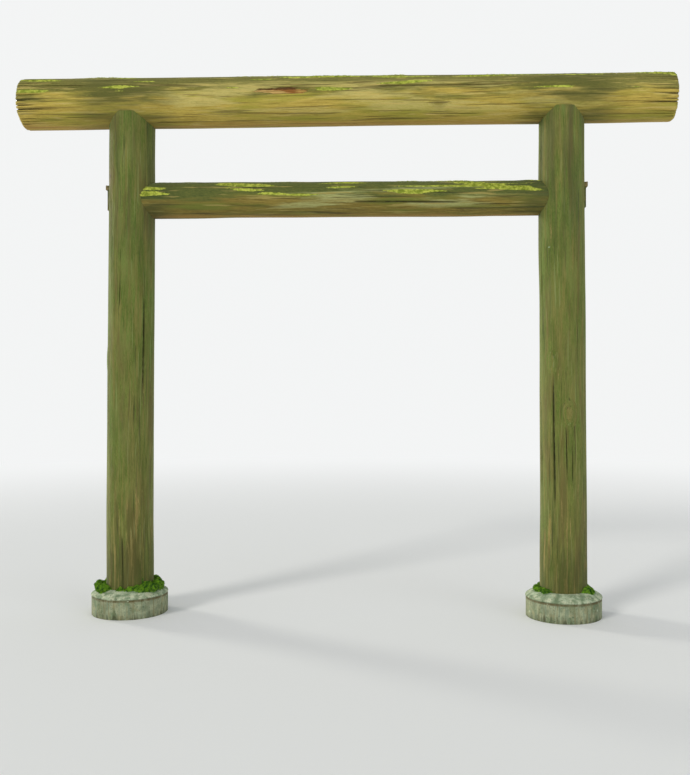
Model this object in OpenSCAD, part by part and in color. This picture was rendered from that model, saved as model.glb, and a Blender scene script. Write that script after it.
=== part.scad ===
// Log torii gate: two round pillars in concrete footings, a round tie beam
// scribed between them and a round top lintel scribed over their heads.
// Millimetres, +Z up. The origin is on the ground, midway between the pillars;
// +X runs along the lintel from its root end to its tip end.

/* [Gate] */
// Distance between the pillars' centre lines at the ground
pillar_spacing = 2310; // [1900:10:3000]
// Inward lean of each pillar, in degrees
pillar_lean = 0.3; // [0:0.1:2]
// Height of the tie beam's centre line above the ground
tie_height = 2200; // [1900:10:2700]
// Clear gap between the tie beam and the top lintel
upper_gap = 300; // [160:10:480]
// Reach of the top lintel beyond each pillar's centre line
lintel_overhang = 570; // [360:10:900]

/* [Logs] */
// Diameter of a pillar where it meets the ground
pillar_foot_d = 246; // [230:2:300]
// Diameter of a pillar under the top lintel
pillar_head_d = 238; // [222:2:290]
// Diameter of the tie beam at its root end, on the left
tie_root_d = 190; // [166:2:206]
// Diameter of the tie beam at its tip end, on the right
tie_tip_d = 182; // [160:2:200]
// Diameter of the top lintel at its root end, on the left
lintel_root_d = 266; // [240:2:310]
// Diameter of the top lintel at its tip end, on the right
lintel_tip_d = 250; // [230:2:300]
// Bevel round the two ends of the top lintel
lintel_bevel = 9; // [3:1:20]

/* [Tie beam joints] */
// Thickness of the tenon at each end of the tie beam
tie_tenon_t = 60; // [42:2:80]
// Height of the tenon at each end of the tie beam
tie_tenon_h = 108; // [80:2:120]
// Length of the tenon left standing beyond the pillar
tie_tenon_proud = 4; // [2:1:40]
// Thickness of a wedge where it enters the pillar
wedge_mouth_t = 24; // [20:1:32]
// Thickness of a wedge at its tip
wedge_tip_t = 11; // [6:1:16]
// Depth to which a wedge is driven into the pillar
wedge_reach = 160; // [100:5:190]
// Length of the wedge left standing beyond the pillar
wedge_proud = 14; // [5:1:60]

/* [Lintel joints] */
// Depth of the saddle that a pillar's head makes for the lintel
saddle_depth = 62; // [30:2:90]
// Side of the square tenon on a pillar's head
head_tenon = 72; // [50:2:90]
// Rise of that tenon above the lintel's centre line
head_tenon_rise = 44; // [30:2:60]
// Side of the square peg that locks the lintel down
peg_side = 20; // [14:1:28]
// Length of the peg left standing beyond the lintel
peg_proud = 7; // [2:1:20]
// Depth to which the peg bites past the tenon
peg_bite = 34; // [15:1:50]

/* [Footings] */
// Height of the concrete drum above the ground
drum_height = 100; // [80:5:300]
// Thickness of the drum's wall round its socket
drum_wall = 48; // [36:2:90]
// Thickness of concrete under the pillar's end grain
socket_floor = 30; // [20:2:60]
// Thickness of the mortar packed round the pillar
mortar_t = 26; // [15:1:45]
// Reach of the mortar collar past the drum's side
collar_lap = 3; // [1:0.5:6]
// Upright edge of the mortar collar above the drum
collar_lip = 8; // [4:1:20]
// Rise of the collar's slope from that edge to the pillar
collar_rise = 30; // [15:1:60]
// Width of the level crown of the collar against the pillar
collar_crown = 6; // [3:1:20]

/* [Clearances] */
// Gap between a log and what is scribed or packed to it
scribe_gap = 0.3; // [0.2:0.1:1]
// Gap beside a tenon, a wedge or a peg, and round the mortar in its socket
joint_play = 0.3; // [0.2:0.1:0.8]

/* [Hidden] */
$fn = 96;

LEFT = -1;
RIGHT = 1;

// How far a cut runs on past the face that it opens
cut_past = 40;
// Room left in the mortise beyond a wedge's tip
wedge_room = 6;

tie_mid_d = (tie_root_d + tie_tip_d) / 2;
lintel_mid_d = (lintel_root_d + lintel_tip_d) / 2;
lintel_axis_z = tie_height + tie_mid_d / 2 + upper_gap + lintel_mid_d / 2;
lintel_length = pillar_spacing + 2 * lintel_overhang;

socket_d = pillar_foot_d + 2 * mortar_t;
drum_d = socket_d + 2 * drum_wall;
collar_top_z = drum_height + collar_lip + collar_rise;

tenon_bottom_z = tie_height - tie_tenon_h / 2;
tenon_top_z = tie_height + tie_tenon_h / 2;

// Distance from the middle of the gate to a pillar's centre line at a height
function pillar_x(z) = pillar_spacing / 2 - z * tan(pillar_lean);

// Diameters along the tapered logs
function pillar_d(z) = pillar_foot_d + (pillar_head_d - pillar_foot_d) * z / lintel_axis_z;
function lintel_d(x) = lintel_mid_d + (lintel_tip_d - lintel_root_d) * x / lintel_length;

// Radius of a pillar at the tie beam, and the thickness of a wedge at a depth
// from the pillar's outer face
pillar_r = pillar_d(tie_height) / 2;
function wedge_t(depth) = wedge_mouth_t - (wedge_mouth_t - wedge_tip_t) * depth / wedge_reach;

// Draws on the left pillar what is drawn for the right one, centred on the
// pillar's line at the given height
module at_pillar(side, z = 0) {
    mirror([side == LEFT ? 1 : 0, 0, 0]) translate([pillar_x(z), 0, 0]) children();
}

// The leaning round of a pillar from one height to another, grown all round
module pillar_round(side, z0, z1, grow = 0) {
    at_pillar(side) rotate([0, -pillar_lean, 0]) translate([0, 0, z0])
        cylinder(h = z1 - z0, d1 = pillar_d(z0) + 2 * grow, d2 = pillar_d(z1) + 2 * grow);
}

// A tapered log along +X, its middle at x = 0
module level_log(length, root_d, tip_d, z) {
    translate([-length / 2, 0, z]) rotate([0, 90, 0])
        cylinder(h = length, d1 = root_d, d2 = tip_d);
}

// An outline in X and Z made into a slab, its middle at y = 0
module upright_slab(points, thickness) {
    translate([0, thickness / 2, 0]) rotate([90, 0, 0])
        linear_extrude(height = thickness) polygon(points);
}

// Tenon of the tie beam, from inside the beam to beyond the pillar
module tie_tenon(side) {
    root_x = -pillar_r - cut_past;
    end_x = pillar_r + tie_tenon_proud;
    at_pillar(side, tie_height) upright_slab([
        [root_x, tenon_bottom_z], [end_x, tenon_bottom_z],
        [end_x, tenon_top_z], [root_x, tenon_top_z]
    ], tie_tenon_t);
}

// Slot through the pillar for the tenon, with a sloped roof over the wedge
module tie_mortise(side) {
    inner_x = -pillar_r - cut_past;
    outer_x = pillar_r + cut_past;
    step_x = pillar_r - wedge_reach - wedge_room;
    roof_z = tenon_top_z + joint_play;
    at_pillar(side, tie_height) upright_slab([
        [inner_x, tenon_bottom_z], [outer_x, tenon_bottom_z],
        [outer_x, roof_z + wedge_t(-cut_past)],
        [step_x, roof_z + wedge_t(wedge_reach + wedge_room)],
        [step_x, roof_z], [inner_x, roof_z]
    ], tie_tenon_t + 2 * joint_play);
}

// Square tenon on a pillar's head, grown where it is the lintel's mortise
module head_tenon_block(side, grow = 0) {
    foot_z = lintel_axis_z - lintel_mid_d / 2 - head_tenon;
    top_z = lintel_axis_z + head_tenon_rise + grow;
    size = head_tenon + 2 * grow;
    at_pillar(side, lintel_axis_z) translate([-size / 2, -size / 2, foot_z])
        cube([size, size, top_z - foot_z]);
}

// Square peg through the lintel and the head tenon, driven in from behind
module peg_bar(side, grow = 0) {
    back_y = lintel_d(side * pillar_x(lintel_axis_z)) / 2 + peg_proud;
    front_y = -head_tenon / 2 - peg_bite - grow;
    size = peg_side + 2 * grow;
    at_pillar(side, lintel_axis_z) translate([-size / 2, front_y, lintel_axis_z - size / 2])
        cube([size, back_y - front_y, size]);
}

// Pillar cut level at its foot, saddled and tenoned at its head
module pillar(side) {
    saddle_z = lintel_axis_z - lintel_mid_d / 2 + saddle_depth;
    color("darkolivegreen") difference() {
        union() {
            difference() {
                pillar_round(side, 0, lintel_axis_z);
                level_log(lintel_length, lintel_root_d + 2 * scribe_gap,
                    lintel_tip_d + 2 * scribe_gap, lintel_axis_z);
                at_pillar(side, saddle_z) translate([-pillar_foot_d, -pillar_foot_d, saddle_z])
                    cube([2 * pillar_foot_d, 2 * pillar_foot_d, lintel_root_d]);
            }
            head_tenon_block(side);
        }
        at_pillar(side) translate([-pillar_foot_d, -pillar_foot_d, socket_floor - pillar_foot_d])
            cube([2 * pillar_foot_d, 2 * pillar_foot_d, pillar_foot_d]);
        tie_mortise(side);
        peg_bar(side, joint_play);
    }
}

module tie_beam() {
    color("olivedrab") union() {
        difference() {
            level_log(2 * pillar_x(tie_height), tie_root_d, tie_tip_d, tie_height);
            for (side = [LEFT, RIGHT])
                pillar_round(side, tie_height - tie_root_d, tie_height + tie_root_d, scribe_gap);
        }
        for (side = [LEFT, RIGHT]) tie_tenon(side);
    }
}

module top_lintel() {
    root_end_r = lintel_root_d / 2 - lintel_bevel;
    tip_end_r = lintel_tip_d / 2 - lintel_bevel;
    color("darkkhaki") difference() {
        translate([-lintel_length / 2, 0, lintel_axis_z]) rotate([0, 90, 0])
            rotate_extrude() polygon([
                [0, 0], [root_end_r, 0], [lintel_root_d / 2, lintel_bevel],
                [lintel_tip_d / 2, lintel_length - lintel_bevel],
                [tip_end_r, lintel_length], [0, lintel_length]
            ]);
        for (side = [LEFT, RIGHT]) {
            head_tenon_block(side, joint_play);
            peg_bar(side, joint_play);
        }
    }
}

// Wedge driven in from outside, between the tenon and the mortise's roof
module tie_wedge(side) {
    head_x = pillar_r + wedge_proud;
    tip_x = pillar_r - wedge_reach;
    color("burlywood") at_pillar(side, tie_height) upright_slab([
        [tip_x, tenon_top_z], [head_x, tenon_top_z],
        [head_x, tenon_top_z + wedge_t(-wedge_proud)],
        [tip_x, tenon_top_z + wedge_t(wedge_reach)]
    ], tie_tenon_t);
}

module lintel_peg(side) {
    color("burlywood") peg_bar(side);
}

// Mortar packed down the socket round the pillar and floated to a slope
module mortar_collar(side) {
    bore_r = pillar_foot_d / 2 - mortar_t / 2;
    sleeve_r = socket_d / 2 - joint_play;
    rim_r = drum_d / 2 + collar_lap;
    crown_r = pillar_d(collar_top_z) / 2 + collar_crown;
    color("lightgray") difference() {
        at_pillar(side) rotate_extrude() polygon([
            [bore_r, socket_floor], [sleeve_r, socket_floor], [sleeve_r, drum_height],
            [rim_r, drum_height], [rim_r, drum_height + collar_lip],
            [crown_r, collar_top_z], [bore_r, collar_top_z]
        ]);
        pillar_round(side, 0, collar_top_z + cut_past, scribe_gap);
    }
}

module footing_drum(side) {
    color("gray") at_pillar(side) difference() {
        cylinder(h = drum_height, d = drum_d);
        translate([0, 0, socket_floor]) cylinder(h = drum_height, d = socket_d);
    }
}

pillar(LEFT);  // left_pillar
pillar(RIGHT);  // right_pillar
tie_beam();
top_lintel();
tie_wedge(LEFT);  // left_tie_wedge
tie_wedge(RIGHT);  // right_tie_wedge
lintel_peg(LEFT);  // left_lintel_peg
lintel_peg(RIGHT);  // right_lintel_peg
mortar_collar(LEFT);  // left_mortar_collar
mortar_collar(RIGHT);  // right_mortar_collar
footing_drum(LEFT);  // left_footing_drum
footing_drum(RIGHT);  // right_footing_drum
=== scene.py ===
import math

import bmesh
import bpy
from mathutils import Matrix, Vector


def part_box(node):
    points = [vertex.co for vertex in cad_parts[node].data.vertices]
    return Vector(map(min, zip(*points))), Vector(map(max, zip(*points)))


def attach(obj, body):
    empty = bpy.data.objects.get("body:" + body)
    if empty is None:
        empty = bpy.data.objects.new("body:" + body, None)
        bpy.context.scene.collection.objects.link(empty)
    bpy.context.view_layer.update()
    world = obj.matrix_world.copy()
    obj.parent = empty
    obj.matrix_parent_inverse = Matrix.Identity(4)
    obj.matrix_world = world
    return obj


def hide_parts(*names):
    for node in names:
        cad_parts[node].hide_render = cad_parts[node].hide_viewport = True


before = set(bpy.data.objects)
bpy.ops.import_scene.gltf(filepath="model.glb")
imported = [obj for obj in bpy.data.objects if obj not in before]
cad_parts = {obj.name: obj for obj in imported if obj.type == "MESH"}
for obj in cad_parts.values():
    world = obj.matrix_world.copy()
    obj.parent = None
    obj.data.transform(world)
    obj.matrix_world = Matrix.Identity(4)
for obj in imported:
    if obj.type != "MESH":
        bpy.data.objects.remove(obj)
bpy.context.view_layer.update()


# Sizes taken from the frame, in metres

def box_size(node):
    low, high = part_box(node)
    return Vector(high) - Vector(low)


def box_middle(node):
    low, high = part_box(node)
    return (Vector(high) + Vector(low)) / 2


PILLAR_X = box_middle("right_footing_drum").x
FLOOR_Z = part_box("right_pillar")[0][2]
FOOT_R = box_size("right_pillar").y / 2
LINTEL_Z = box_middle("top_lintel").z
LINTEL_LENGTH = box_size("top_lintel").x
LINTEL_ROOT_R = box_size("top_lintel").z / 2
TIE_Z = box_middle("tie_beam").z
TIE_ROOT_R = box_size("tie_beam").z / 2
DRUM_R = box_size("right_footing_drum").x / 2
DRUM_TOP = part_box("right_footing_drum")[1][2]
RIM_R = box_size("right_mortar_collar").x / 2
COLLAR_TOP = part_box("right_mortar_collar")[1][2]

# Sizes that the boxes don't show
LEAN = math.radians(0.3)
HEAD_R = 0.119
TIE_TIP_R = 0.091
LINTEL_TIP_R = 0.125
SADDLE_DEPTH = 0.062
TENON_T = 0.060
TENON_H = 0.108
TENON_PROUD = 0.004
WEDGE_MOUTH = 0.024
WEDGE_TIP = 0.011
WEDGE_REACH = 0.160
WEDGE_PROUD = 0.014
PEG = 0.020
SOCKET_R = 0.149
COLLAR_LIP = 0.008
COLLAR_CROWN = 0.006
COLLAR_DOME = 0.006
COLLAR_NOSE = 0.005
SEAM = 0.0009

# Knots lie at the points of a net of cells that the shape and the colour share
KNOTS_A_METRE = 2.7
KNOT_FLATNESS = 0.75


def pillar_x(z):
    return PILLAR_X - z * math.tan(LEAN)


def pillar_r(z):
    return FOOT_R + (HEAD_R - FOOT_R) * z / LINTEL_Z


def lintel_r(x):
    mid = (LINTEL_ROOT_R + LINTEL_TIP_R) / 2
    return mid + (LINTEL_TIP_R - LINTEL_ROOT_R) * x / LINTEL_LENGTH


# Node trees

FLOAT = "NodeSocketFloat"
INTEGER = "NodeSocketInt"
VECTOR = "NodeSocketVector"
SHAPE = "NodeSocketGeometry"
OBJECT = "NodeSocketObject"
MATERIAL = "NodeSocketMaterial"


class Graph:
    """A node tree under construction. Each method adds a node and gives back its socket."""

    def __init__(self, tree):
        self.tree = tree

    @classmethod
    def group(cls, name, kind, inputs, outputs):
        graph = cls(bpy.data.node_groups.new(name, kind))
        for label, socket, default in inputs:
            item = graph.tree.interface.new_socket(label, in_out="INPUT", socket_type=socket)
            if default is not None:
                item.default_value = default
        for label, socket in outputs:
            graph.tree.interface.new_socket(label, in_out="OUTPUT", socket_type=socket)
        graph.given = graph.node("NodeGroupInput").outputs
        graph.result = graph.node("NodeGroupOutput").inputs
        return graph

    def put(self, socket, value):
        if isinstance(value, bpy.types.NodeSocket):
            self.tree.links.new(value, socket)
        else:
            socket.default_value = value

    def node(self, kind, inputs=None, **settings):
        node = self.tree.nodes.new(kind)
        for key, value in settings.items():
            setattr(node, key, value)
        for key, value in (inputs or {}).items():
            self.put(node.inputs[key], value)
        return node

    def math(self, operation, *values):
        return self.node("ShaderNodeMath", dict(enumerate(values)), operation=operation).outputs[0]

    def times(self, a, b):
        return self.math("MULTIPLY", a, b)

    def plus(self, a, b):
        return self.math("ADD", a, b)

    def minus(self, a, b):
        return self.math("SUBTRACT", a, b)

    def vector(self, operation, *values):
        node = self.node("ShaderNodeVectorMath", dict(enumerate(values)), operation=operation)
        return node.outputs["Value" if operation == "LENGTH" else "Vector"]

    def stretched(self, vector, by):
        return self.vector("MULTIPLY", vector, (1.0, 1.0, by))

    def on_round(self, turn, radius, z):
        """The point at a turn, a radius and a height."""
        return self.join(self.times(self.math("COSINE", turn), radius),
                         self.times(self.math("SINE", turn), radius), z)

    def apart(self, a, b):
        return self.math("ABSOLUTE", self.minus(a, b))

    def join(self, x, y, z):
        return self.node("ShaderNodeCombineXYZ", {0: x, 1: y, 2: z}).outputs[0]

    def split(self, vector):
        return self.node("ShaderNodeSeparateXYZ", {0: vector}).outputs

    def fade(self, value, low, high, to_low=0.0, to_high=1.0):
        return self.node("ShaderNodeMapRange", {0: value, 1: low, 2: high, 3: to_low, 4: to_high},
                         interpolation_type="SMOOTHSTEP").outputs[0]

    def noise(self, vector, scale, detail=2.0, roughness=0.5, distortion=0.0):
        return self.node("ShaderNodeTexNoise", {
            "Vector": vector, "Scale": scale, "Detail": detail,
            "Roughness": roughness, "Distortion": distortion}).outputs[0]

    def cells(self, vector, scale, **settings):
        """The outputs of a pattern of cells about scattered points."""
        return self.node("ShaderNodeTexVoronoi", {"Vector": vector, "Scale": scale}, **settings).outputs

    def swing(self, vector, scale, reach, detail=1.0):
        """Noise about zero that stays within plus or minus the reach."""
        return self.node("ShaderNodeMapRange", {
            0: self.noise(vector, scale, detail), 1: 0.2, 2: 0.8,
            3: self.times(reach, -1.0), 4: reach}).outputs[0]

    def mix(self, factor, a, b):
        return self.node("ShaderNodeMix", {0: factor, 6: a, 7: b}, data_type="RGBA").outputs[2]

    def paint(self, color, tone, mask, amount):
        """The colour with a tone laid over it where the mask shows, up to the amount."""
        return self.mix(self.times(mask, amount), color, tone)

    def blend(self, factor, a, b):
        return self.node("ShaderNodeMix", {0: factor, 2: a, 3: b}, data_type="FLOAT").outputs[0]

    def use(self, group, inputs):
        return self.node("ShaderNodeGroup", inputs, node_tree=group).outputs

    def keep(self, shape, name, value, kind="FLOAT", domain="POINT"):
        return self.node("GeometryNodeStoreNamedAttribute", {
            "Geometry": shape, "Name": name, "Value": value},
            data_type=kind, domain=domain).outputs[0]


def tinted(red, green, blue):
    """A colour given in the 0 to 255 steps of a picture, for a shader's socket."""
    def linear(step):
        part = step / 255
        return part / 12.92 if part <= 0.04045 else ((part + 0.055) / 1.055) ** 2.4
    return (linear(red), linear(green), linear(blue), 1.0)


# The log tree: a closed, tapered, weathered round whose ends may be scribed to other logs

LOG_INPUTS = [
    ("Geometry", SHAPE, None),
    ("Length", FLOAT, 2.0), ("Root Radius", FLOAT, 0.12), ("Tip Radius", FLOAT, 0.12),
    ("Columns", INTEGER, 320), ("Rows", INTEGER, 240), ("Seed", FLOAT, 0.0),
    ("Foot Scribe", FLOAT, 0.0), ("Head Scribe", FLOAT, 0.0),
    ("Foot Slope", FLOAT, 0.0), ("Head Slope", FLOAT, 0.0), ("Saddle", FLOAT, 1.0),
    ("Bevel", FLOAT, 0.0), ("Sway", FLOAT, 0.004), ("Out Of Round", FLOAT, 0.003),
    ("Ridges", FLOAT, 0.0007), ("Wander", FLOAT, 0.10), ("Check Share", FLOAT, 0.045),
    ("Check Depth", FLOAT, 0.007),
    ("Calm Low", FLOAT, 0.0), ("Calm High", FLOAT, 1.0), ("Calm Reach", FLOAT, 0.35),
    ("Split Turn", FLOAT, 0.0), ("Split Height", FLOAT, -9.0), ("Split Half", FLOAT, 0.2),
    ("Split Depth", FLOAT, 0.014),
    ("Scar Turn", FLOAT, 0.0), ("Scar Height", FLOAT, -9.0), ("Scar Half", FLOAT, 0.15),
    ("Scar Width", FLOAT, 0.017), ("Scar Depth", FLOAT, 0.006),
    ("End Checks", FLOAT, 0.0), ("Moss Above", FLOAT, 0.0), ("Moss Foot", FLOAT, 0.0),
    ("Moss Across", FLOAT, 3.6), ("Moss Along", FLOAT, 2.6),
    ("Add", OBJECT, None), ("Cut", OBJECT, None), ("Material", MATERIAL, None),
]


# Edges that turn by more than this many radians stay sharp, on logs and on rough pieces
LOG_SHARP, ROUGH_SHARP = 0.9, 0.75


def shade_by_angle(g, shape, angle):
    """Smooth shading, with the edges that turn by more than the angle left sharp."""
    smooth = g.node("GeometryNodeSetShadeSmooth", {"Geometry": shape, "Shade Smooth": True}).outputs[0]
    edge = g.node("GeometryNodeInputMeshEdgeAngle").outputs[0]
    return g.keep(smooth, "sharp_edge", g.math("GREATER_THAN", edge, angle), "BOOLEAN", "EDGE")


def ended(g, shape):
    """Ends a geometry tree: the shape takes the material given."""
    g.put(g.result[0], g.node("GeometryNodeSetMaterial", {
        "Geometry": shape, "Material": g.given["Material"]}).outputs[0])
    return g.tree


# Length at each joint over which a log was dressed smooth
DRESSED_REACH = 0.12
# Half width of a wide split, in columns of the mesh
SPLIT_COLUMNS = 2.6
# Share of the columns that open at a square end, and how deep they cut into it
END_CHECK_SHARE = 0.1
END_CHECK_DEPTH = 0.007


def weathered_log_tree():
    g = Graph.group("weathered_log", "GeometryNodeTree", LOG_INPUTS, [("Geometry", SHAPE)])
    given = g.given
    length = given["Length"]
    offset = g.times(given["Seed"], 4.7)
    seed = g.vector("MULTIPLY", g.join(given["Seed"], given["Seed"], given["Seed"]), (7.31, 3.17, 11.7))

    def around(turn, z, across, along):
        """A seamless place for noise, from the turn about the log and the height on it."""
        return g.vector("ADD", g.on_round(turn, across, g.times(z, along)), seed)

    def calm(z):
        """Nothing at the joints, where a log was dressed to fit, and one away from them."""
        return g.times(*(g.fade(g.apart(z, given[joint]), DRESSED_REACH, given["Calm Reach"])
                         for joint in ("Calm Low", "Calm High")))

    def wander(turn, z):
        return g.swing(around(turn, z, 0.55, 0.8), 1.0, given["Wander"], 2.0)

    def sway(z):
        reach = g.times(given["Sway"], calm(z))
        line = g.vector("ADD", g.join(0.0, 0.0, g.times(z, 0.75)), seed)
        other = g.vector("ADD", line, (5.0, 9.0, 2.0))
        return g.swing(line, 1.0, reach), g.swing(other, 1.0, reach)

    body = g.node("GeometryNodeMeshCylinder", {
        "Vertices": given["Columns"], "Side Segments": given["Rows"], "Fill Segments": 8,
        "Radius": 1.0, "Depth": 1.0}, fill_type="TRIANGLE_FAN")
    start = g.split(g.node("GeometryNodeInputPosition").outputs[0])
    turn = g.math("ARCTAN2", start[1], start[0])
    rho = g.math("MINIMUM", g.vector("LENGTH", g.join(start[0], start[1], 0.0)), 1.0)
    share = g.plus(start[2], 0.5)
    z = g.times(share, length)
    bent = g.plus(turn, wander(turn, z))

    # Relief of the round
    whole = g.blend(share, given["Root Radius"], given["Tip Radius"])
    oval = g.times(calm(z), g.swing(around(turn, z, 0.8, 0.5), 1.0, given["Out Of Round"], 1.0))
    ripple = g.swing(around(turn, z, 4.5, 2.4), 1.0, 0.0007)
    ridge = g.swing(around(turn, z, 19.0, 1.5), 1.0, given["Ridges"])
    spot = g.stretched(g.on_round(turn, whole, g.plus(z, offset)), KNOT_FLATNESS)
    off_knot = g.math("DIVIDE", g.cells(spot, KNOTS_A_METRE)["Distance"], KNOTS_A_METRE)
    raised = g.fade(off_knot, 0.065, 0.018, 0.0, 0.0028)
    dimple = g.fade(off_knot, 0.015, 0.008, 0.0, 0.003)
    swell = g.minus(raised, dimple)

    # Drying checks: some columns of the mesh sink, each along a few stretches
    step = g.math("DIVIDE", 2 * math.pi, given["Columns"])
    column = g.math("ROUND", g.math("DIVIDE", turn, step))
    draw = g.node("ShaderNodeTexWhiteNoise", {"W": g.plus(g.times(column, 1.37), given["Seed"])},
                  noise_dimensions="1D").outputs[0]
    chosen = g.math("GREATER_THAN", draw, g.minus(1.0, given["Check Share"]))
    stretch = g.noise(g.join(g.times(draw, 531.0), z, given["Seed"]), 1.9, 2.0)
    check = g.times(chosen, g.fade(stretch, 0.56, 0.68))
    to_end = g.times(g.math("MINIMUM", share, g.minus(1.0, share)), length)
    other_draw = g.math("FRACT", g.times(draw, 517.3))
    end_reach = g.plus(0.05, g.times(other_draw, 0.3))
    end_check = g.times(g.math("GREATER_THAN", draw, 1.0 - END_CHECK_SHARE),
                        g.fade(to_end, end_reach, g.times(end_reach, 0.3)))
    check = g.math("MAXIMUM", check, g.times(end_check, given["End Checks"]))

    # One wide check, in the place given
    split_column = g.math("ROUND", g.math("DIVIDE", given["Split Turn"], step))
    across = g.fade(g.apart(split_column, column), SPLIT_COLUMNS, 0.0)
    reach = g.math("DIVIDE", g.minus(z, given["Split Height"]), given["Split Half"])
    along = g.math("SQRT", g.math("MAXIMUM", g.minus(1.0, g.times(reach, reach)), 0.0))
    ragged = g.noise(around(turn, z, 3.0, 26.0), 1.0, 2.0)
    wide = g.times(g.times(across, along), g.fade(ragged, 0.25, 0.6, 0.55, 1.0))
    sunk = g.math("MAXIMUM", g.times(check, given["Check Depth"]), g.times(wide, given["Split Depth"]))
    opened = g.math("MAXIMUM", check, wide)

    # One scar, where a strip of the outer wood has broken away, narrow at its low end
    lengthways = g.math("DIVIDE", g.minus(z, given["Scar Height"]), given["Scar Half"])
    half_width = g.times(given["Scar Width"], g.fade(lengthways, -1.0, 0.6, 0.6, 1.15))
    beside = g.math("DIVIDE", g.times(g.minus(turn, given["Scar Turn"]), whole), half_width)
    splinters = g.swing(around(turn, z, 14.0, 9.0), 1.0, 0.45, 3.0)
    from_scar = g.plus(g.vector("LENGTH", g.join(beside, lengthways, 0.0)), splinters)
    scar = g.fade(from_scar, 1.05, 0.85)
    scar_place = g.join(lengthways, beside, scar)
    sunk = g.plus(sunk, g.times(scar, given["Scar Depth"]))

    # Moss in long lenses on the upper side of a level log, and round the foot of an upright one
    above = g.times(g.fade(g.math("COSINE", bent), 0.35, -0.25), given["Moss Above"])
    low = g.times(g.fade(z, 0.30, 0.04), given["Moss Foot"])
    cover = g.times(g.plus(above, low), g.fade(rho, 0.95, 1.0))
    cover = g.times(cover, g.fade(from_scar, 1.1, 1.7))
    bare_level = g.fade(cover, 0.0, 1.0, 0.85, 0.56)
    lenses = g.noise(around(turn, z, given["Moss Across"], given["Moss Along"]), 1.0, 1.0, 0.35)
    moss = g.fade(g.minus(lenses, bare_level), -0.03, 0.05)
    thick = g.fade(g.minus(lenses, bare_level), 0.04, 0.12)
    lumps = g.noise(around(turn, z, 12.0, 55.0), 1.0, 2.0)
    crust = g.times(moss, g.fade(lumps, 0.3, 0.7, 0.0006, 0.0022))
    crust = g.plus(crust, g.times(thick, g.fade(lumps, 0.3, 0.7, 0.0, 0.003)))

    # Worn edge at a square end
    worn = g.times(given["Bevel"], g.fade(g.noise(around(turn, z, 3.0, 3.0), 1.0), 0.3, 0.7, 0.7, 1.3))
    bevel = g.math("MAXIMUM", g.minus(worn, to_end), 0.0)

    radius = whole
    for raised_by in (oval, ripple, ridge, swell, crust):
        radius = g.plus(radius, raised_by)
    for lowered_by in (sunk, bevel):
        radius = g.minus(radius, lowered_by)
    radius = g.times(radius, rho)
    off_x, off_y = sway(z)
    x = g.plus(g.times(g.math("COSINE", bent), radius), off_x)
    y = g.plus(g.times(g.math("SINE", bent), radius), off_y)

    def hollow(scribe):
        """How far a round of the scribed radius stands off its own centre line, at this y."""
        inside = g.minus(g.times(scribe, scribe), g.times(y, y))
        return g.math("SQRT", g.math("MAXIMUM", inside, 0.0))

    foot = g.plus(hollow(given["Foot Scribe"]), g.times(given["Foot Slope"], x))
    blunt = g.minus(given["Head Scribe"], given["Saddle"])
    head = g.minus(length, g.math("MAXIMUM", hollow(given["Head Scribe"]), blunt))
    head = g.plus(head, g.times(given["Head Slope"], x))
    inward = g.minus(1.0, g.times(share, 2.0))
    on_end = g.times(g.math("LESS_THAN", to_end, 0.0001), g.fade(rho, 0.1, 0.6))
    end_groove = g.times(g.times(on_end, check), g.times(inward, END_CHECK_DEPTH))
    level = g.plus(g.blend(share, foot, head), g.times(end_groove, given["End Checks"]))
    shape = g.keep(g.keep(body.outputs["Mesh"], "check", opened), "moss", moss)
    shape = g.keep(g.keep(shape, "thick_moss", thick), "scar", scar_place, "FLOAT_VECTOR")
    shape = g.node("GeometryNodeSetPosition", {"Geometry": shape, "Position": g.join(x, y, level)}).outputs[0]

    # Tenons are added and mortises cut, and the grain is laid over what results
    tenon = g.node("GeometryNodeObjectInfo", {"Object": given["Add"]}).outputs["Geometry"]
    mortise = g.node("GeometryNodeObjectInfo", {"Object": given["Cut"]}).outputs["Geometry"]
    union = g.node("GeometryNodeMeshBoolean", {"Mesh 2": shape}, operation="UNION", solver="MANIFOLD")
    g.put(union.inputs["Mesh 2"], tenon)
    carved = g.node("GeometryNodeMeshBoolean", {"Mesh 1": union.outputs["Mesh"], "Mesh 2": mortise},
                    operation="DIFFERENCE", solver="MANIFOLD").outputs["Mesh"]

    place = g.split(g.node("GeometryNodeInputPosition").outputs[0])
    near_x, near_y = sway(place[2])
    flat_x = g.minus(place[0], near_x)
    flat_y = g.minus(place[1], near_y)
    far = g.vector("LENGTH", g.join(flat_x, flat_y, 0.0))
    seen = g.math("ARCTAN2", flat_y, flat_x)
    first = g.minus(seen, wander(seen, place[2]))
    grain = g.on_round(first, far, g.plus(place[2], offset))
    carved = g.keep(carved, "grain", grain, "FLOAT_VECTOR")
    return ended(g, shade_by_angle(g, carved, LOG_SHARP))


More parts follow.
